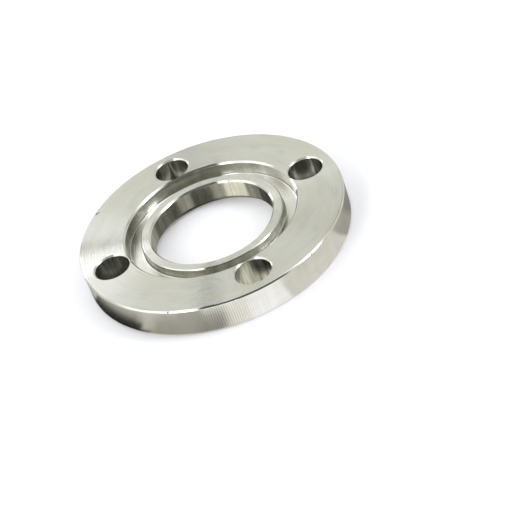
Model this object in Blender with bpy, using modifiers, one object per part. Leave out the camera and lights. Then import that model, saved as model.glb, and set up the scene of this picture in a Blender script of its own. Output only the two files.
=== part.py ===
"""A flat-faced duplex steel pipe flange, turned, bored and drilled from one piece of bar or plate.

The section, from the axis outwards, is a through bore, a lip around it that stands back from the
front face, a deep annular recess, and the bolting ring with its four holes. The flange lies on its
back face: the origin is the centre of that face, and +Z runs along the bore to the front face.

Sizes are in millimetres and are chained from the bore outwards and from the back face upwards, so
that each wall keeps its own thickness when another size changes.
"""

import math

import bmesh
import bpy

MM = 0.001

# Radial sizes, from the bore outwards. They add up to a 120.65 bolt circle and a 152.4 outside.
BORE_DIAMETER = 70.4
LIP_WALL = 5.8
RECESS_WIDTH = 8.4
WEB_TO_BOLT_HOLES = 1.025
BOLT_HOLE_DIAMETER = 19.8
WALL_TO_RIM = 5.975

# Axial sizes, from the back face upwards. They add up to a thickness of 16.7.
WEB_BEHIND_RECESS = 8.1
LIP_HEIGHT = 5.9
LIP_SETBACK = 2.7

# Bolting.
BOLT_HOLE_COUNT = 4
FIRST_HOLE_ANGLE = 45.0

# Edges. Chamfers are at 45 degrees, apart from the one at the back of the bore.
RIM_CHAMFER = 0.8
RECESS_CHAMFER = 1.0
LIP_CHAMFER = 0.5
BORE_FRONT_CHAMFER = 0.95
BORE_BACK_CHAMFER_WIDTH = 2.5
BORE_BACK_CHAMFER_DEPTH = 3.0
BOLT_HOLE_CHAMFER = 0.8
RECESS_FILLET = 0.8

# Facets.
FLANGE_STEPS = 144
HOLE_STEPS = 40
FILLET_STEPS = 3
CUTTER_OVERRUN = 2.0

BORE_RADIUS = BORE_DIAMETER / 2
LIP_RADIUS = BORE_RADIUS + LIP_WALL
RECESS_RADIUS = LIP_RADIUS + RECESS_WIDTH
BOLT_HOLE_RADIUS = BOLT_HOLE_DIAMETER / 2
BOLT_CIRCLE_RADIUS = RECESS_RADIUS + WEB_TO_BOLT_HOLES + BOLT_HOLE_RADIUS
FLANGE_RADIUS = BOLT_CIRCLE_RADIUS + BOLT_HOLE_RADIUS + WALL_TO_RIM

RECESS_FLOOR_Z = WEB_BEHIND_RECESS
LIP_TOP_Z = RECESS_FLOOR_Z + LIP_HEIGHT
FRONT_Z = LIP_TOP_Z + LIP_SETBACK

STEEL_COLOUR = (0.56, 0.56, 0.51, 1.0)
STEEL_ROUGHNESS = 0.34


def clear_scene():
    for old in list(bpy.data.objects):
        bpy.data.objects.remove(old, do_unlink=True)


def new_collection(name):
    collection = bpy.data.collections.new(name)
    bpy.context.scene.collection.children.link(collection)
    return collection


def steel_material():
    material = bpy.data.materials.new("duplex_steel")
    material.use_nodes = True
    shader = material.node_tree.nodes["Principled BSDF"]
    shader.inputs["Base Color"].default_value = STEEL_COLOUR
    shader.inputs["Metallic"].default_value = 1.0
    shader.inputs["Roughness"].default_value = STEEL_ROUGHNESS
    return material


def fillet(centre, radius, start, end):
    """The points of a quarter round about centre, from the angle start to the angle end, in degrees."""
    points = []
    for step in range(FILLET_STEPS + 1):
        angle = math.radians(start + (end - start) * step / FILLET_STEPS)
        points.append((centre[0] + radius * math.cos(angle), centre[1] + radius * math.sin(angle)))
    return points


def rim_profile():
    """The rim, from the front face down to the back face."""
    return [
        (FLANGE_RADIUS - RIM_CHAMFER, FRONT_Z),
        (FLANGE_RADIUS, FRONT_Z - RIM_CHAMFER),
        (FLANGE_RADIUS, RIM_CHAMFER),
        (FLANGE_RADIUS - RIM_CHAMFER, 0.0),
    ]


def bore_profile():
    """The bore, from the back face up to the top of the lip."""
    return [
        (BORE_RADIUS + BORE_BACK_CHAMFER_WIDTH, 0.0),
        (BORE_RADIUS, BORE_BACK_CHAMFER_DEPTH),
        (BORE_RADIUS, LIP_TOP_Z - BORE_FRONT_CHAMFER),
        (BORE_RADIUS + BORE_FRONT_CHAMFER, LIP_TOP_Z),
    ]


def recess_profile():
    """The recess, down the outside of the lip, across the floor and up to the front face."""
    round_radius = min(RECESS_FILLET, 0.45 * RECESS_WIDTH)
    centre_z = RECESS_FLOOR_Z + round_radius
    return [
        (LIP_RADIUS - LIP_CHAMFER, LIP_TOP_Z),
        (LIP_RADIUS, LIP_TOP_Z - LIP_CHAMFER),
        *fillet((LIP_RADIUS + round_radius, centre_z), round_radius, 180.0, 270.0),
        *fillet((RECESS_RADIUS - round_radius, centre_z), round_radius, 270.0, 360.0),
        (RECESS_RADIUS, FRONT_Z - RECESS_CHAMFER),
        (RECESS_RADIUS + RECESS_CHAMFER, FRONT_Z),
    ]


def bolt_hole_profile():
    """Half the section of a drilled hole with both mouths chamfered, from above the flange to below it."""
    mouth_radius = BOLT_HOLE_RADIUS + BOLT_HOLE_CHAMFER + CUTTER_OVERRUN
    return [
        (0.0, FRONT_Z + CUTTER_OVERRUN),
        (mouth_radius, FRONT_Z + CUTTER_OVERRUN),
        (BOLT_HOLE_RADIUS, FRONT_Z - BOLT_HOLE_CHAMFER),
        (BOLT_HOLE_RADIUS, BOLT_HOLE_CHAMFER),
        (mouth_radius, -CUTTER_OVERRUN),
        (0.0, -CUTTER_OVERRUN),
    ]


def profile_mesh(name, points, closed):
    """A chain of edges in the XZ plane, in metres, for a Screw modifier to turn about Z."""
    mesh = bpy.data.meshes.new(name)
    sketch = bmesh.new()
    corners = [sketch.verts.new((radius * MM, 0.0, height * MM)) for radius, height in points]
    for first, second in zip(corners, corners[1:]):
        sketch.edges.new((first, second))
    if closed:
        sketch.edges.new((corners[-1], corners[0]))
    sketch.to_mesh(mesh)
    sketch.free()
    return mesh


def turned(name, points, steps, collection, closed=True):
    """An object made by turning a profile once about Z."""
    shape = bpy.data.objects.new(name, profile_mesh(name, points, closed))
    collection.objects.link(shape)
    screw = shape.modifiers.new("turn", "SCREW")
    screw.axis = "Z"
    screw.angle = math.tau
    screw.steps = steps
    screw.render_steps = steps
    screw.use_merge_vertices = True
    screw.merge_threshold = 0.00001
    return shape


def bolt_hole_cutter(number, collection):
    """One drill and countersink, standing on the bolt circle."""
    cutter = turned(f"bolt_hole_{number}", bolt_hole_profile(), HOLE_STEPS, collection, closed=False)
    angle = math.radians(FIRST_HOLE_ANGLE + 360.0 * (number - 1) / BOLT_HOLE_COUNT)
    reach = BOLT_CIRCLE_RADIUS * MM
    cutter.location = (reach * math.cos(angle), reach * math.sin(angle), 0.0)
    cutter.rotation_euler.z = angle
    cutter.hide_render = True
    cutter.display_type = "WIRE"
    return cutter


def make_flange(parts, cutters):
    section = rim_profile() + bore_profile() + recess_profile()
    flange = turned("flange", section, FLANGE_STEPS, parts)
    flange.data.materials.append(steel_material())
    for number in range(1, BOLT_HOLE_COUNT + 1):
        cut = flange.modifiers.new(f"drill_{number}", "BOOLEAN")
        cut.operation = "DIFFERENCE"
        cut.solver = "EXACT"
        cut.object = bolt_hole_cutter(number, cutters)
    shading = flange.modifiers.new("flat_faces_stay_flat", "WEIGHTED_NORMAL")
    shading.mode = "FACE_AREA"
    return flange


def main():
    clear_scene()
    parts = new_collection("duplex_steel_flange")
    cutters = new_collection("cutters")
    cutters.hide_render = True
    make_flange(parts, cutters)


main()
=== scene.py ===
"""The looks of a duplex steel pipe flange: a fine turned mesh with its machining marks, in a plain studio.

Lengths are in millimetres and angles in degrees, until they are handed to Blender. The flange lies on its
back face, and +Z runs along the bore to the front face.
"""

import math
from typing import NamedTuple

import bmesh
import bpy
from mathutils import Matrix, Quaternion, Vector

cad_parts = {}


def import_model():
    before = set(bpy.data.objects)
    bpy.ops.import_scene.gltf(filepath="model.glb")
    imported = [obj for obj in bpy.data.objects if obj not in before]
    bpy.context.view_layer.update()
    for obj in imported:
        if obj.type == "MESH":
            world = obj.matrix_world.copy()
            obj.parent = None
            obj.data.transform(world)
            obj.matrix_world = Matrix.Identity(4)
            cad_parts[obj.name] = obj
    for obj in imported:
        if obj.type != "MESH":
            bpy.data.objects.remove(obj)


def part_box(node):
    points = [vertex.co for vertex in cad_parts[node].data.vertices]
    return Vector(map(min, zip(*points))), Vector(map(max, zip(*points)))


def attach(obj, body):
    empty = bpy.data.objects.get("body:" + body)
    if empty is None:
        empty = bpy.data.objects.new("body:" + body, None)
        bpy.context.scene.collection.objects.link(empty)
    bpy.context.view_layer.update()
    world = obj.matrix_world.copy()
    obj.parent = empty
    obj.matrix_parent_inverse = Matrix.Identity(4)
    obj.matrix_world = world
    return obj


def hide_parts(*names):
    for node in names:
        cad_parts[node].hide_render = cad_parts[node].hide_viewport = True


MM = 0.001
NODE = "flange"

# The section. The outside and the thickness come from the frame.
BORE_RADIUS = 35.2
LIP_WALL = 5.8
RECESS_WIDTH = 8.4
RECESS_DEPTH = 8.6
LIP_SETBACK = 2.7
RIM_CHAMFER = 0.8
RECESS_CHAMFER = 1.0
LIP_CHAMFER = 0.5
BORE_FRONT_CHAMFER = 0.95
BORE_BACK_CHAMFER_DEPTH = 3.0
BORE_BACK_CHAMFER_WIDTH = 2.5
RECESS_FILLET = 0.8
EDGE_ROUND = 0.14
SOFT_EDGE_ROUND = 0.4

# The bolt holes.
BOLT_CIRCLE_RADIUS = 60.325
BOLT_HOLE_RADIUS = 9.9
BOLT_HOLE_CHAMFER = 0.8
BOLT_HOLE_COUNT = 4
FIRST_HOLE_ANGLE = 45.0

# The mesh. A surface longer than LONG_SURFACE gets a holding edge near each end, so that it shades flat.
# Edges that turn by more than SHARP_ANGLE are sharp.
FLANGE_STEPS = 480
HOLE_STEPS = 96
ROUND_STEPS = 3
HOLDING_EDGE = 0.3
LONG_SURFACE = 4 * HOLDING_EDGE
CUTTER_OVERRUN = 2.0
SHARP_ANGLE = 34.0

# The UV map. U grows by 1 in MAP_LENGTH along the section, and V by 1 in a turn. Each bolt hole starts
# HOLE_MAP_STEP further along.
TURNING_MAP = "turning"
MAP_LENGTH = 100.0
HOLE_MAP_STEP = 1000.0

# Colours of the steel, as it reflects.
CLEAN_STEEL = (0.617, 0.62, 0.562)
WARM_STEEL = (0.612, 0.605, 0.535)
DULL_STEEL = (0.578, 0.58, 0.525)
MARK_COLOUR = (0.16, 0.16, 0.15)


class Finish(NamedTuple):
    """How one kind of surface is finished.

    The tone and the tint scale the steel's colour. The tone is painted light and shade: darker on the recess
    and hole walls as painted shade, lighter on the lip face and the recess floor as painted light, and on
    the countersinks as a painted highlight. Lines are the share by which the tool's lines round the axis
    lighten and darken it, and streaks the share of the marks along the axis, which come about streak_count
    times in a turn. Grooves, waves and chatter are depths in millimetres.
    """

    roughness: float
    tone: float = 1.0
    tint: tuple = (1.0, 1.0, 1.0)
    lines: float = 0.0
    streaks: float = 0.0
    streak_count: float = 60.0
    grooves: float = 0.002
    waves: float = 0.0
    chatter: float = 0.0


# A tone under 1 is painted shade, on the recess and hole walls. A tone over 1 is painted light, on the lip
# face and the recess floor, and a painted highlight on the countersinks.
FINISHES = {
    "turned_face": Finish(0.17, lines=0.02, grooves=0.026),
    "lip_face": Finish(0.18, tone=1.03, lines=0.04, grooves=0.026),
    "recess_floor": Finish(0.18, tone=1.12, lines=0.03, grooves=0.02),
    "rim_band": Finish(0.19, streaks=0.03, waves=0.015, chatter=0.012),
    "chamfer": Finish(0.14, streaks=0.03, waves=0.01),
    "countersink": Finish(0.32, tone=1.25, streaks=0.03, waves=0.01),
    "bored_wall": Finish(0.215, tint=(1.01, 1.0, 0.94), streaks=0.16, waves=0.05),
    "recess_wall": Finish(0.17, tone=0.84, tint=(1.006, 1.0, 0.99), streaks=0.14, waves=0.04),
    "drilled_wall": Finish(
        0.17, tone=0.8, tint=(1.0, 1.0, 0.95), streaks=0.45, streak_count=20.0, waves=0.08
    ),
}
ZONES = tuple(FINISHES)

# The values of a noise between which the steel turns warm in clouds, turns dull in stains, and goes from its
# darkest to its lightest.
CLOUD_RANGE = (0.40, 0.62)
STAIN_RANGE = (0.50, 0.72)
SHADE_RANGE = (0.33, 0.67)

# How far the roughness wanders with the tool's lines and with the clouds.
LINE_ROUGHNESS = 0.03
CLOUD_ROUGHNESS = 0.02

# The regular grooves of the tool. They wander by GROOVE_DRIFT radians of their wave. Their depth goes with a
# noise over GROOVE_RANGE, and where it is least it is the share SHALLOWEST_GROOVE of GROOVE_DEPTH.
GROOVE_PITCH = 0.45
GROOVE_DEPTH = 0.0015
GROOVE_DRIFT = 1.4
GROOVE_RANGE = (0.3, 0.7)
SHALLOWEST_GROOVE = 0.25

# The rim's chatter: a ripple that comes CHATTER_COUNT times in a turn, and wanders by CHATTER_DRIFT radians
# of its wave. It is strong within CHATTER_REACH of CHATTER_MIDDLE, and fades over CHATTER_FADE to the share
# CHATTER_ELSEWHERE. It lightens and darkens the steel by the share CHATTER_SHADE.
CHATTER_COUNT = 380
CHATTER_DRIFT = 1.2
CHATTER_MIDDLE = 296.5
CHATTER_REACH = 5.0
CHATTER_FADE = 10.0
CHATTER_ELSEWHERE = 0.1
CHATTER_SHADE = 0.1

# Small marks, as (name, angle round the axis, distance from it, height, half width). They are ragged by up
# to MARK_RAGGEDNESS, at their darkest within the share MARK_CORE of their half width, and MARK_DEPTH deep.
MARKS = (
    ("face_spot", 178.5, 74.1, 16.7, 1.1),
    ("face_spot_tail", 177.7, 73.3, 16.7, 0.8),
    ("edge_nick", -21.7, 75.7, 16.3, 0.9),
    ("edge_mark", -85.1, 75.8, 16.1, 0.6),
    ("bore_mark", 95.6, 35.7, 13.6, 0.6),
    ("hole_burr", -144.3, 59.2, 16.7, 0.6),
)
MARK_RAGGEDNESS = 0.5
MARK_CORE = 0.3
MARK_DEPTH = 0.05

# The camera, found from the rim, the bolt holes, the recess and the bore in the photograph.
FOCAL_LENGTH = 97.238
SENSOR_WIDTH = 36.0
AIM_POINT = (34.218, -22.145, 8.32)
CAMERA_DISTANCE = 736.96
CAMERA_AZIMUTH = -56.721
CAMERA_ELEVATION = 37.010
CAMERA_ROLL = -20.384
NEAREST_SEEN = 10.0
FARTHEST_SEEN = 50000.0

# The studio. Each panel is a name, its middle and half its width round the flange from FRONT_AZIMUTH on the
# camera's side, its middle and half its extent the other way, its brightness, and half the width of its
# soft edge. The other way is the angle above the horizon, or the distance from the axis in millimetres for
# panels on the plates under the floor. Each panel is painted over those before it. About a third of them
# have the rounded places of a program's fit to the photograph's brightness, and the rest were set or changed
# one by one.
FRONT_AZIMUTH = -55.2
SKY_BASE = 0.96
SKY_PANELS = (
    ("ceiling", 0, 190, 90, 12, 0.5, 6),
    ("ceiling_right", 107, 53, 77, 13, 2.0, 6),
    ("ceiling_left", -55, 65, 84, 13, 0.45, 6),
    ("left_bank", -92, 63, 52, 9, 1.2, 6),
    ("left_lamp", -155, 17, 32, 7, 2.4, 4),
    ("low_front_bank", -40, 38, 7, 13, 2.85, 3),
    ("behind_camera", 2, 45, 48, 27, 0.05, 2),
    ("above_camera", 2, 45, 62, 13, 0.2, 4),
    ("key_box", 84, 22, 57, 15, 3.2, 5),
    ("gap_beside_key", 136, 23, 40, 11, 0.12, 5),
    ("gap_low_left", -100, 9, 4, 9, 0.35, 3),
    ("gap_low_right", 69, 15, 5, 11, 0.05, 2),
    ("left_front_light", -55, 18, 27, 11, 1.2, 3),
    ("left_gap", -75, 13, 18, 9, 0.6, 3),
    ("recess_light_left", -77, 38, 36, 9, 2.1, 2),
    ("recess_lamp_left", -48.5, 9, 37, 10, 7.0, 1.5),
    ("recess_lamp_right", 72, 9, 36, 10, 8.0, 1.5),
)

# Light that shows on the face as a fan with straight edges. Each fan starts with the azimuth and elevation
# of the camera, seen from one part of the face. Its panels are placed by the normal that mirrors them there:
# by its bearing, and then by its tilt from upright.
FANS = (
    (-49.5, 34.7, (
        ("left_light", -117, 12, 20, 18, 1.65, 5),
        ("left_beam_tail", -76, 15, 14, 14, 1.6, 6),
        ("left_gap", -103, 5, 23, 21, 0.0, 1),
        ("left_beam", -89.5, 8.5, 23, 21, 3.1, 1),
    )),
    (-53.6, 37.6, (
        ("front_light", -13, 24, 15, 14, 1.42, 3),
        ("front_gap", -13, 3.3, 20, 17, 0.0, 0.5),
        ("front_gap_near", -13, 7, 5, 4, 0.0, 0.5),
        ("back_gap", 167, 3, 15, 13, 0.3, 0.5),
        ("back_gap_near", 167, 6, 5, 4, 0.3, 0.5),
    )),
)

# What the bore reflects from below the horizon, through the opening in the plate under the floor. That plate
# hides it from the rest of the flange.
BORE_BASE = 0.02
BORE_PANELS = (
    ("left_glow", -67, 45, -13, 12, 1.5, 6),
    ("left_lamp", -68, 20, -20, 24, 1.35, 5),
    ("front_glow", 31, 14, -11, 19, 0.8, 3),
    ("right_glow", 87, 17, -21, 10, 0.37, 7),
    ("back_glow", 146, 25, -42, 13, 0.6, 8),
    ("low_front_glow", 13, 61, -67, 17, 0.6, 4),
    ("low_left_glow", -137, 27, -59, 16, 0.5, 10),
    ("straight_down", 0, 190, -90, 8, 0.5, 4),
)

# What the rim reflects from the plate under the floor.
FLOOR_BASE = 0.95
FLOOR_PANELS = (
    ("front_shade_left", -37, 20, 89, 14, 0.41, 4),
    ("left_shine", -49, 6, 88, 14, 0.68, 4),
    ("front_shade", -15, 6, 89, 13, 0.33, 3),
    ("front_glow", 5, 26, 115, 19, 1.45, 1.5),
    ("right_shade", 38, 15, 117, 15, 0.55, 1.5),
    ("edge_half_shade", 67.5, 8, 82, 12, 0.48, 1.5),
    ("edge_shade", 88, 14, 83, 12, 0.3, 3),
    ("left_glow", -54, 20, 111, 13, 1.4, 3),
    ("left_edge_shade", -106, 21, 88, 15, 0.5, 4),
    ("left_half_shade", -70, 18, 88, 12, 0.6, 3),
    ("left_shade_near", -71, 28, 68.5, 10, 0.0, 1.5),
    ("left_shade_middle", -64, 15.5, 72, 11.5, 0.0, 1.5),
    ("left_shade", -68, 15, 74, 11.5, 0.0, 1.5),
    ("bright_patch_start", 4, 7, 93, 18, 1.2, 5),
    ("bright_patch", 11, 9, 93, 18, 1.42, 1.5),
)

# What the walls of the bolt holes reflect from the plates below them: each plate's own brightness, from the
# first hole on, and the panels over it.
HOLE_BASES = (0.08, 0.055, 0.055, 0.8)
HOLE_PANELS = (
    ("front_hole_shade", 1, 8, 60, 16, 0.03, 2),
    ("right_hole_glow", 106, 3, 60, 16, 0.12, 1),
    ("right_hole_streak", 102.5, 0.7, 60, 16, 1.4, 0.4),
    ("back_hole_streak", -168, 0.8, 60, 16, 1.2, 0.4),
    ("second_back_hole_streak", -173, 1.2, 60, 16, 0.5, 0.5),
    ("left_hole_streak", -80, 0.8, 60, 16, 0.4, 0.5),
)

# Tints of the light: a neutral room, warm reflections from below, and cool lamps. The sky has the room's
# tint up to ROOM_LEVEL of brightness, and the plates have theirs up to LOW_LEVEL. From there they turn to
# the lamps' tint, which they reach at LAMP_LEVEL.
ROOM_TINT = (0.988, 1.0, 0.953)
LOW_TINT = (1.045, 1.0, 0.925)
BORE_TINT = (1.02, 1.0, 0.91)
LAMP_TINT = (0.995, 1.0, 1.09)
ROOM_LEVEL = 1.0
LOW_LEVEL = 0.6
LAMP_LEVEL = 1.7

# The floor, and the plates under it that only the steel's reflections show.
STUDIO_RADIUS = 6000.0
FLOOR_HEIGHT = -0.3
FLOOR_COLOUR = (0.94, 0.94, 0.94, 1.0)
FLOOR_ROUGHNESS = 0.9
HOLE_PLATE_HEIGHT = -0.35
HOLE_PLATE_RADIUS = 13.0
REFLECTION_HEIGHT = -0.4
REFLECTION_OPENING = 45.0
PLATE_STEPS = 96


def polar(distance, angle):
    """A place in the plane of the flange, by its distance from the axis and its angle round it."""
    turn = math.radians(angle)
    return distance * math.cos(turn), distance * math.sin(turn)


def direction(azimuth, elevation):
    height = math.radians(elevation)
    return Vector((*polar(math.cos(height), azimuth), math.sin(height)))


def bolt_holes():
    """The angle and the centre of each bolt hole."""
    for number in range(BOLT_HOLE_COUNT):
        angle = FIRST_HOLE_ANGLE + 360.0 * number / BOLT_HOLE_COUNT
        yield angle, polar(BOLT_CIRCLE_RADIUS, angle)


def linked_object(name, data):
    made = bpy.data.objects.new(name, data)
    bpy.context.scene.collection.objects.link(made)
    return made


# The mesh


def flange_corners(radius, thickness):
    """The corners of the section as (radius, height, rounding, zone of the surface that starts there)."""
    lip_radius = BORE_RADIUS + LIP_WALL
    recess_radius = lip_radius + RECESS_WIDTH
    recess_floor = thickness - RECESS_DEPTH
    lip_top = thickness - LIP_SETBACK
    return [
        (radius - RIM_CHAMFER, thickness, SOFT_EDGE_ROUND, "chamfer"),
        (radius, thickness - RIM_CHAMFER, SOFT_EDGE_ROUND, "rim_band"),
        (radius, RIM_CHAMFER, EDGE_ROUND, "chamfer"),
        (radius - RIM_CHAMFER, 0.0, EDGE_ROUND, "turned_face"),
        (BORE_RADIUS + BORE_BACK_CHAMFER_WIDTH, 0.0, EDGE_ROUND, "chamfer"),
        (BORE_RADIUS, BORE_BACK_CHAMFER_DEPTH, EDGE_ROUND, "bored_wall"),
        (BORE_RADIUS, lip_top - BORE_FRONT_CHAMFER, EDGE_ROUND, "chamfer"),
        (BORE_RADIUS + BORE_FRONT_CHAMFER, lip_top, EDGE_ROUND, "lip_face"),
        (lip_radius - LIP_CHAMFER, lip_top, EDGE_ROUND, "chamfer"),
        (lip_radius, lip_top - LIP_CHAMFER, EDGE_ROUND, "recess_wall"),
        (lip_radius, recess_floor, RECESS_FILLET, "recess_floor"),
        (recess_radius, recess_floor, RECESS_FILLET, "recess_wall"),
        (recess_radius, thickness - RECESS_CHAMFER, EDGE_ROUND, "chamfer"),
        (recess_radius + RECESS_CHAMFER, thickness, EDGE_ROUND, "turned_face"),
    ]


def hole_corners(thickness):
    """Half the section of one drill and countersink, from above the flange to below it."""
    mouth = BOLT_HOLE_RADIUS + BOLT_HOLE_CHAMFER + CUTTER_OVERRUN
    return [
        (0.0, thickness + CUTTER_OVERRUN, 0.0, "drilled_wall"),
        (mouth, thickness + CUTTER_OVERRUN, 0.0, "countersink"),
        (BOLT_HOLE_RADIUS, thickness - BOLT_HOLE_CHAMFER, EDGE_ROUND, "drilled_wall"),
        (BOLT_HOLE_RADIUS, BOLT_HOLE_CHAMFER, EDGE_ROUND, "countersink"),
        (mouth, -CUTTER_OVERRUN, 0.0, "drilled_wall"),
        (0.0, -CUTTER_OVERRUN, 0.0, "drilled_wall"),
    ]


def corner_arc(before, corner, after, rounding):
    """The points of a round of that radius at a corner between two others."""
    back = (before - corner).normalized()
    ahead = (after - corner).normalized()
    half_angle = back.angle(ahead) / 2
    reach = rounding / math.tan(half_angle)
    centre = corner + (back + ahead).normalized() * rounding / math.sin(half_angle)
    start = corner + back * reach - centre
    end = corner + ahead * reach - centre
    turn = start.angle_signed(end)
    points = []
    for step in range(ROUND_STEPS + 1):
        spoke = start.copy()
        spoke.rotate(Matrix.Rotation(-turn * step / ROUND_STEPS, 2))
        points.append(centre + spoke)
    return points


def outline(corners, closed):
    """The section's points as (point, zone of the surface that starts there), with its edges rounded."""
    spots = [Vector(corner[:2]) for corner in corners]
    rounded = []
    for number, (_, _, rounding, zone) in enumerate(corners):
        if rounding:
            arc = corner_arc(spots[number - 1], spots[number], spots[(number + 1) % len(spots)], rounding)
            rounded += [(point, "chamfer") for point in arc[:-1]] + [(arc[-1], zone)]
        else:
            rounded.append((spots[number], zone))
    return with_holding_edges(rounded, closed)


def with_holding_edges(points, closed):
    """The same points, with one more close to each end of a long surface."""
    held = []
    for number, (point, zone) in enumerate(points):
        held.append((point, zone))
        if number + 1 == len(points) and not closed:
            break
        following = points[(number + 1) % len(points)][0]
        run = following - point
        if run.length > LONG_SURFACE and point.x > 0 and following.x > 0:
            held.append((point + run.normalized() * HOLDING_EDGE, zone))
            held.append((following - run.normalized() * HOLDING_EDGE, zone))
    return held


def ring(sketch, point, steps, centre, first_angle):
    """One point of an outline, turned about the centre. On the centre line it stays one point."""
    if point.x == 0.0:
        return [sketch.verts.new(Vector((*centre, point.y)) * MM)] * steps
    corners = []
    for step in range(steps):
        angle = math.radians(first_angle) + math.tau * step / steps
        x = centre[0] + point.x * math.cos(angle)
        y = centre[1] + point.x * math.sin(angle)
        corners.append(sketch.verts.new(Vector((x, y, point.y)) * MM))
    return corners


def band(sketch, turning_map, near, far, along, length, zone):
    """The faces between two rings, which are triangles where one ring is a point."""
    steps = len(near)
    for step in range(steps):
        after = (step + 1) % steps
        corners = [
            (near[step], along, step),
            (near[after], along, step + 1),
            (far[after], along + length, step + 1),
            (far[step], along + length, step),
        ]
        if near[step] == near[after]:
            del corners[1]
        elif far[step] == far[after]:
            del corners[2]
        face = sketch.faces.new([corner[0] for corner in corners])
        face.material_index = ZONES.index(zone)
        face.smooth = True
        for loop, (_, u, v) in zip(face.loops, corners):
            loop[turning_map].uv = (u / MAP_LENGTH, v / steps)


def lathe(sketch, points, steps, closed, centre=(0.0, 0.0), first_angle=0.0, map_start=0.0):
    """Turns an outline about a vertical line. U runs along the section and V round it."""
    layers = sketch.loops.layers.uv
    turning_map = layers.get(TURNING_MAP) or layers.new(TURNING_MAP)
    rings = [ring(sketch, point, steps, centre, first_angle) for point, _ in points]
    along = map_start
    for number in range(len(points) if closed else len(points) - 1):
        following = (number + 1) % len(points)
        start, zone = points[number]
        length = (points[following][0] - start).length
        band(sketch, turning_map, rings[number], rings[following], along, length, zone)
        along += length


def finished_mesh(name, sketch):
    bmesh.ops.recalc_face_normals(sketch, faces=sketch.faces)
    mesh = bpy.data.meshes.new(name)
    sketch.to_mesh(mesh)
    sketch.free()
    return mesh


def turned_blank(radius, thickness):
    sketch = bmesh.new()
    section = outline(flange_corners(radius, thickness), closed=True)
    lathe(sketch, section, FLANGE_STEPS, closed=True)
    return finished_mesh("turned_blank", sketch)


def drills(thickness):
    """All the bolt hole cutters as one mesh."""
    sketch = bmesh.new()
    section = outline(hole_corners(thickness), closed=False)
    for number, (angle, centre) in enumerate(bolt_holes(), start=1):
        start = HOLE_MAP_STEP * number
        lathe(sketch, section, HOLE_STEPS, closed=False, centre=centre, first_angle=angle, map_start=start)
    return finished_mesh("drills", sketch)


def evaluated_mesh(source, name):
    graph = bpy.context.evaluated_depsgraph_get()
    mesh = bpy.data.meshes.new_from_object(source.evaluated_get(graph))
    mesh.name = name
    return mesh


def drilled_mesh(radius, thickness, materials):
    blank = linked_object("blank", turned_blank(radius, thickness))
    cutter = linked_object("cutter", drills(thickness))
    for material in materials:
        blank.data.materials.append(material)
        cutter.data.materials.append(material)
    cut = blank.modifiers.new("drill", "BOOLEAN")
    cut.operation = "DIFFERENCE"
    cut.solver = "EXACT"
    cut.object = cutter
    mesh = evaluated_mesh(blank, "drilled_blank")
    for old in (blank, cutter):
        bpy.data.objects.remove(old, do_unlink=True)
    return mesh


def fine_flange():
    """The visible flange: a turned blank with its bolt holes cut, in the size of the frame's own."""
    _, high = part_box(NODE)
    mesh = drilled_mesh(high.x / MM, high.z / MM, steels())
    mesh.set_sharp_from_angle(angle=math.radians(SHARP_ANGLE))
    flange = linked_object("turned_flange", mesh)
    shading = flange.modifiers.new("flat_faces_stay_flat", "WEIGHTED_NORMAL")
    shading.mode = "FACE_AREA"
    shading.keep_sharp = True
    return flange


# Nodes


def connect(tree, value, socket):
    """Links another node's output to a socket, or sets the socket to a number or a vector."""
    if isinstance(value, bpy.types.NodeSocket):
        tree.links.new(value, socket)
    else:
        socket.default_value = value


def math_node(tree, operation, *values):
    node = tree.nodes.new("ShaderNodeMath")
    node.operation = operation
    for number, value in enumerate(values):
        connect(tree, value, node.inputs[number])
    return node.outputs["Value"]


def vector_math(tree, operation, first, second=None):
    node = tree.nodes.new("ShaderNodeVectorMath")
    node.operation = operation
    connect(tree, first, node.inputs[0])
    if second is not None:
        connect(tree, second, node.inputs["Scale" if operation == "SCALE" else 1])
    return node.outputs["Value" if operation == "DISTANCE" else "Vector"]


def joined(tree, *parts):
    node = tree.nodes.new("ShaderNodeCombineXYZ")
    for number, part in enumerate(parts):
        connect(tree, part, node.inputs[number])
    return node.outputs[0]


def noise(tree, vector, scale, detail, roughness=0.5):
    node = tree.nodes.new("ShaderNodeTexNoise")
    node.inputs["Scale"].default_value = scale
    node.inputs["Detail"].default_value = detail
    node.inputs["Roughness"].default_value = roughness
    tree.links.new(vector, node.inputs["Vector"])
    return node.outputs["Fac"]


def soft_step(tree, value, low, high, start=0.0, end=1.0):
    """Goes smoothly from start to end as value goes from low to high."""
    node = tree.nodes.new("ShaderNodeMapRange")
    node.interpolation_type = "SMOOTHSTEP"
    settings = {"Value": value, "From Min": low, "From Max": high, "To Min": start, "To Max": end}
    for name, setting in settings.items():
        connect(tree, setting, node.inputs[name])
    return node.outputs["Result"]


def blend(tree, share, first, second):
    """The number first where share is 0, and second where it is 1."""
    node = tree.nodes.new("ShaderNodeMix")
    connect(tree, share, node.inputs["Factor"])
    connect(tree, first, node.inputs[2])
    connect(tree, second, node.inputs[3])
    return node.outputs[0]


def mixed_colour(tree, share, first, second):
    """The colour first where share is 0, and second where it is 1."""
    node = tree.nodes.new("ShaderNodeMix")
    node.data_type = "RGBA"
    connect(tree, share, node.inputs["Factor"])
    for value, socket in ((first, node.inputs[6]), (second, node.inputs[7])):
        connect(tree, value if isinstance(value, bpy.types.NodeSocket) else (*value, 1.0), socket)
    return node.outputs[2]


def centred(tree, value, size):
    """A noise, brought to run from about -size to size."""
    return math_node(tree, "MULTIPLY", math_node(tree, "SUBTRACT", value, 0.5), 2.0 * size)


def shade(tree, value, share):
    """A factor that lightens and darkens by up to that share."""
    return soft_step(tree, value, *SHADE_RANGE, 1.0 - share, 1.0 + share)


# The steel


class Place(NamedTuple):
    """A place on the turned surface: millimetres along the section, and radians round the axis."""

    along: bpy.types.NodeSocket
    angle: bpy.types.NodeSocket


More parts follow.
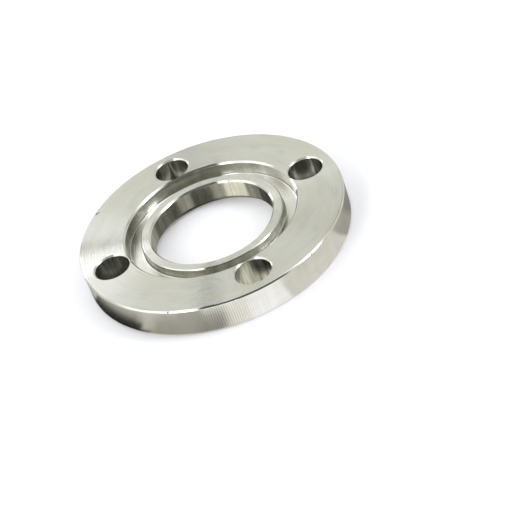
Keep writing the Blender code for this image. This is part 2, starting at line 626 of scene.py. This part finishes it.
class Grain(NamedTuple):
    """The noises that a finish's colour, height and roughness share."""

    line: bpy.types.NodeSocket
    cloud: bpy.types.NodeSocket
    stain: bpy.types.NodeSocket
    streak: bpy.types.NodeSocket


def turning_place(tree):
    chosen = tree.nodes.new("ShaderNodeUVMap")
    chosen.uv_map = TURNING_MAP
    parts = tree.nodes.new("ShaderNodeSeparateXYZ")
    tree.links.new(chosen.outputs["UV"], parts.inputs[0])
    along = math_node(tree, "MULTIPLY", parts.outputs["X"], MAP_LENGTH)
    angle = math_node(tree, "MULTIPLY", parts.outputs["Y"], math.tau)
    return Place(along, angle)


def lathe_noise(tree, place, per_turn, per_mm, detail=2.0, roughness=0.5):
    """A noise with no seam. It varies about per_turn times in a turn and per_mm times in a millimetre."""
    reach = per_turn / math.tau
    x = math_node(tree, "MULTIPLY", math_node(tree, "COSINE", place.angle), reach)
    y = math_node(tree, "MULTIPLY", math_node(tree, "SINE", place.angle), reach)
    z = math_node(tree, "MULTIPLY", place.along, per_mm)
    return noise(tree, joined(tree, x, y, z), scale=1.0, detail=detail, roughness=roughness)


def steel_grain(tree, place, streak_count):
    return Grain(
        line=lathe_noise(tree, place, per_turn=6.0, per_mm=1.1, detail=4.0, roughness=0.65),
        cloud=lathe_noise(tree, place, per_turn=8.0, per_mm=0.10, detail=3.0),
        stain=lathe_noise(tree, place, per_turn=26.0, per_mm=0.13, detail=3.0),
        streak=lathe_noise(tree, place, per_turn=streak_count, per_mm=0.02, detail=3.0, roughness=0.6),
    )


def groove_height(tree, place, depth_of_lines):
    """The height of the tool marks in millimetres: grooves of uneven depth that run round the axis."""
    drift = centred(tree, lathe_noise(tree, place, per_turn=9.0, per_mm=0.25), GROOVE_DRIFT)
    phase = math_node(tree, "MULTIPLY", place.along, math.tau / GROOVE_PITCH)
    wave = math_node(tree, "SINE", math_node(tree, "ADD", phase, drift))
    unevenness = lathe_noise(tree, place, per_turn=14.0, per_mm=0.9)
    depth = soft_step(tree, unevenness, *GROOVE_RANGE, SHALLOWEST_GROOVE, 1.0)
    groove = math_node(tree, "MULTIPLY", math_node(tree, "MULTIPLY", wave, depth), GROOVE_DEPTH)
    fine = centred(tree, lathe_noise(tree, place, per_turn=24.0, per_mm=3.2, detail=1.0), depth_of_lines)
    return math_node(tree, "ADD", groove, fine)


def chatter(tree, place):
    """The regular ripple that the tool left round the rim, stronger in one place, from -1 to 1."""
    wobble = centred(tree, lathe_noise(tree, place, per_turn=40.0, per_mm=0.0), CHATTER_DRIFT)
    turned = math_node(tree, "ADD", math_node(tree, "MULTIPLY", place.angle, CHATTER_COUNT), wobble)
    off = math_node(tree, "ABSOLUTE", math_node(tree, "SUBTRACT", place.angle, math.radians(CHATTER_MIDDLE)))
    near = math.radians(CHATTER_REACH)
    far = math.radians(CHATTER_REACH + CHATTER_FADE)
    strength = soft_step(tree, off, near, far, 1.0, CHATTER_ELSEWHERE)
    return math_node(tree, "MULTIPLY", math_node(tree, "SINE", turned), strength)


def marks(tree):
    """1 in each small mark, and 0 elsewhere."""
    where = tree.nodes.new("ShaderNodeTexCoord")
    spot = vector_math(tree, "SCALE", where.outputs["Object"], 1.0 / MM)
    ragged = centred(tree, noise(tree, spot, scale=1.4, detail=2.0), MARK_RAGGEDNESS)
    found = 0.0
    for _, angle, radius, height, half_width in MARKS:
        centre = (*polar(radius, angle), height)
        distance = math_node(tree, "ADD", vector_math(tree, "DISTANCE", spot, centre), ragged)
        inside = soft_step(tree, distance, MARK_CORE * half_width, half_width, 1.0, 0.0)
        found = math_node(tree, "MAXIMUM", found, inside)
    return found


def steel_colour(tree, finish, grain, ripple, marked):
    """Clean steel with warm clouds, dull stains, the tool's lines and streaks, and the marks."""
    warm = mixed_colour(tree, soft_step(tree, grain.cloud, *CLOUD_RANGE), CLEAN_STEEL, WARM_STEEL)
    colour = mixed_colour(tree, soft_step(tree, grain.stain, *STAIN_RANGE), warm, DULL_STEEL)
    # The finish's tone scales the colour as painted light and shade, together with the tool's lines and
    # streaks.
    tone = math_node(tree, "MULTIPLY", shade(tree, grain.line, finish.lines), finish.tone)
    tone = math_node(tree, "MULTIPLY", tone, shade(tree, grain.streak, finish.streaks))
    rippled = math_node(tree, "ADD", math_node(tree, "MULTIPLY", ripple, CHATTER_SHADE), 1.0)
    colour = vector_math(tree, "SCALE", colour, math_node(tree, "MULTIPLY", tone, rippled))
    colour = vector_math(tree, "MULTIPLY", colour, finish.tint)
    return mixed_colour(tree, marked, colour, MARK_COLOUR)


def steel_roughness(tree, finish, grain):
    along_lines = centred(tree, grain.line, LINE_ROUGHNESS)
    in_clouds = centred(tree, grain.cloud, CLOUD_ROUGHNESS)
    return math_node(tree, "ADD", math_node(tree, "ADD", along_lines, in_clouds), finish.roughness)


def steel_normal(tree, finish, place, grain, ripple, marked):
    """Bumps of the grooves, waves and chatter, and dents at the marks."""
    waves = centred(tree, grain.streak, finish.waves)
    height = math_node(tree, "ADD", groove_height(tree, place, finish.grooves), waves)
    height = math_node(tree, "ADD", height, math_node(tree, "MULTIPLY", ripple, finish.chatter))
    height = math_node(tree, "SUBTRACT", height, math_node(tree, "MULTIPLY", marked, MARK_DEPTH))
    bump = tree.nodes.new("ShaderNodeBump")
    bump.inputs["Distance"].default_value = MM
    bump.inputs["Strength"].default_value = 1.0
    tree.links.new(height, bump.inputs["Height"])
    return bump.outputs["Normal"]


def turning_tangent(tree):
    """The direction along the section, across the tool's grooves."""
    tangent = tree.nodes.new("ShaderNodeTangent")
    tangent.direction_type = "UV_MAP"
    tangent.uv_map = TURNING_MAP
    return tangent.outputs["Tangent"]


def steel(name, finish):
    """Steel in one finish, whose grooves stretch its reflections along the section."""
    material = bpy.data.materials.new(name)
    material.use_nodes = True
    tree = material.node_tree
    shader = tree.nodes["Principled BSDF"]
    shader.inputs["Metallic"].default_value = 1.0
    shader.inputs["Anisotropic"].default_value = 1.0
    place = turning_place(tree)
    grain = steel_grain(tree, place, finish.streak_count)
    ripple = chatter(tree, place) if finish.chatter else 0.0
    marked = marks(tree)
    tree.links.new(turning_tangent(tree), shader.inputs["Tangent"])
    tree.links.new(steel_colour(tree, finish, grain, ripple, marked), shader.inputs["Base Color"])
    tree.links.new(steel_roughness(tree, finish, grain), shader.inputs["Roughness"])
    tree.links.new(steel_normal(tree, finish, place, grain, ripple, marked), shader.inputs["Normal"])
    return material


def steels():
    return [steel(zone, finish) for zone, finish in FINISHES.items()]


# The studio


def camera():
    data = bpy.data.cameras.new("camera")
    data.lens = FOCAL_LENGTH
    data.sensor_width = SENSOR_WIDTH
    data.clip_start = NEAREST_SEEN * MM
    data.clip_end = FARTHEST_SEEN * MM
    made = linked_object("camera", data)
    towards = direction(CAMERA_AZIMUTH, CAMERA_ELEVATION)
    made.location = (Vector(AIM_POINT) + towards * CAMERA_DISTANCE) * MM
    made.rotation_mode = "QUATERNION"
    level = (-towards).to_track_quat("-Z", "Y")
    made.rotation_quaternion = level @ Quaternion((0.0, 0.0, 1.0), math.radians(CAMERA_ROLL))
    bpy.context.scene.camera = made


def bearing(tree, vector):
    """The direction of a vector round Z, in degrees from FRONT_AZIMUTH, and the vector's parts."""
    parts = tree.nodes.new("ShaderNodeSeparateXYZ")
    tree.links.new(vector, parts.inputs[0])
    angle = math_node(tree, "ARCTAN2", parts.outputs["Y"], parts.outputs["X"])
    turned = math_node(tree, "SUBTRACT", math_node(tree, "DEGREES", angle), FRONT_AZIMUTH)
    return turned, parts.outputs


def painted(tree, base, panels, azimuth, reach):
    """A brightness: soft-edged panels painted over a base, each over the last."""
    brightness = base
    for _, middle, half_width, centre, half_depth, level, softness in panels:
        off = math_node(tree, "WRAP", math_node(tree, "SUBTRACT", azimuth, middle), 180.0, -180.0)
        side = math_node(tree, "ABSOLUTE", off)
        across = soft_step(tree, side, half_width - softness, half_width + softness, 1.0, 0.0)
        away = math_node(tree, "ABSOLUTE", math_node(tree, "SUBTRACT", reach, centre))
        along = soft_step(tree, away, half_depth - softness, half_depth + softness, 1.0, 0.0)
        brightness = blend(tree, math_node(tree, "MULTIPLY", across, along), brightness, level)
    return brightness


def fanned(tree, brightness, ray):
    """Paints the fans over the sky."""
    for azimuth, elevation, panels in FANS:
        halfway = vector_math(tree, "ADD", ray, direction(azimuth, elevation))
        normal = vector_math(tree, "NORMALIZE", halfway)
        bearing_of_normal, parts = bearing(tree, normal)
        tilt = math_node(tree, "DEGREES", math_node(tree, "ARCCOSINE", parts["Z"]))
        brightness = painted(tree, brightness, panels, bearing_of_normal, tilt)
    return brightness


def lit_colour(tree, brightness, dim_tint, dim_level):
    """The tint of a light: dim_tint up to dim_level, and the lamps' where it is bright."""
    return mixed_colour(tree, soft_step(tree, brightness, dim_level, LAMP_LEVEL), dim_tint, LAMP_TINT)


def world():
    """The studio: soft boxes and dark gaps above the horizon, and the bore's panels below it."""
    made = bpy.data.worlds.new("studio")
    bpy.context.scene.world = made
    made.use_nodes = True
    tree = made.node_tree
    ray = tree.nodes.new("ShaderNodeTexCoord").outputs["Generated"]
    azimuth, parts = bearing(tree, ray)
    height = math_node(tree, "DEGREES", math_node(tree, "ARCSINE", parts["Z"]))
    sky = fanned(tree, painted(tree, SKY_BASE, SKY_PANELS, azimuth, height), ray)
    below = painted(tree, BORE_BASE, BORE_PANELS, azimuth, height)
    under = math_node(tree, "LESS_THAN", height, 0.0)
    colour = mixed_colour(tree, under, lit_colour(tree, sky, ROOM_TINT, ROOM_LEVEL), BORE_TINT)
    background = tree.nodes["Background"]
    connect(tree, colour, background.inputs["Color"])
    connect(tree, blend(tree, under, sky, below), background.inputs["Strength"])


def plate(name, outer_radius, inner_radius, centre, height):
    """A flat ring, or a disc where the inner radius is 0."""
    sketch = bmesh.new()
    for radius in (outer_radius, inner_radius):
        if radius:
            bmesh.ops.create_circle(sketch, cap_ends=False, radius=radius * MM, segments=PLATE_STEPS)
    edges = list(sketch.edges)
    if inner_radius:
        bmesh.ops.bridge_loops(sketch, edges=edges)
    else:
        bmesh.ops.contextual_create(sketch, geom=edges)
    bmesh.ops.translate(sketch, verts=sketch.verts, vec=Vector((*centre, height)) * MM)
    mesh = bpy.data.meshes.new(name)
    sketch.to_mesh(mesh)
    sketch.free()
    return linked_object(name, mesh)


def glow(name, panels, base, tint):
    """A light of painted panels, by direction and distance from the axis of the flange."""
    material = bpy.data.materials.new(name)
    material.use_nodes = True
    tree = material.node_tree
    tree.nodes.clear()
    where = tree.nodes.new("ShaderNodeNewGeometry")
    azimuth, parts = bearing(tree, where.outputs["Position"])
    squares = [math_node(tree, "POWER", parts[axis], 2.0) for axis in ("X", "Y")]
    distance = math_node(tree, "DIVIDE", math_node(tree, "SQRT", math_node(tree, "ADD", *squares)), MM)
    brightness = painted(tree, base, panels, azimuth, distance)
    emission = tree.nodes.new("ShaderNodeEmission")
    connect(tree, lit_colour(tree, brightness, tint, LOW_LEVEL), emission.inputs["Color"])
    connect(tree, brightness, emission.inputs["Strength"])
    output = tree.nodes.new("ShaderNodeOutputMaterial")
    tree.links.new(emission.outputs[0], output.inputs["Surface"])
    return material


def reflected_only(piece, material):
    """Makes a stage piece that only the steel's reflections show."""
    piece.data.materials.append(material)
    piece.visible_camera = False
    piece.visible_diffuse = False
    piece.visible_transmission = False


def pale_floor():
    """The floor that the camera sees. The steel reflects the plates under it instead."""
    ground = plate("floor", STUDIO_RADIUS, 0.0, (0.0, 0.0), FLOOR_HEIGHT)
    material = bpy.data.materials.new("floor")
    material.use_nodes = True
    shader = material.node_tree.nodes["Principled BSDF"]
    shader.inputs["Base Color"].default_value = FLOOR_COLOUR
    shader.inputs["Roughness"].default_value = FLOOR_ROUGHNESS
    shader.inputs["Specular IOR Level"].default_value = 0.0
    ground.data.materials.append(material)
    ground.visible_glossy = False
    ground.visible_shadow = False


def reflection_plates():
    """The plates that the rim and the bolt holes reflect. The bore reflects what is under the opening."""
    reflected = plate("floor_reflection", STUDIO_RADIUS, REFLECTION_OPENING, (0.0, 0.0), REFLECTION_HEIGHT)
    reflected_only(reflected, glow("floor_glow", FLOOR_PANELS, FLOOR_BASE, LOW_TINT))
    for number, ((_, centre), base) in enumerate(zip(bolt_holes(), HOLE_BASES), start=1):
        under_hole = plate(f"hole_reflection_{number}", HOLE_PLATE_RADIUS, 0.0, centre, HOLE_PLATE_HEIGHT)
        reflected_only(under_hole, glow(f"hole_glow_{number}", HOLE_PANELS, base, BORE_TINT))


def main():
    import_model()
    bpy.context.scene.view_settings.view_transform = "Standard"
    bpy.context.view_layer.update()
    flange = fine_flange()
    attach(flange, "root")
    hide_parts(NODE)
    camera()
    pale_floor()
    reflection_plates()
    world()


main()
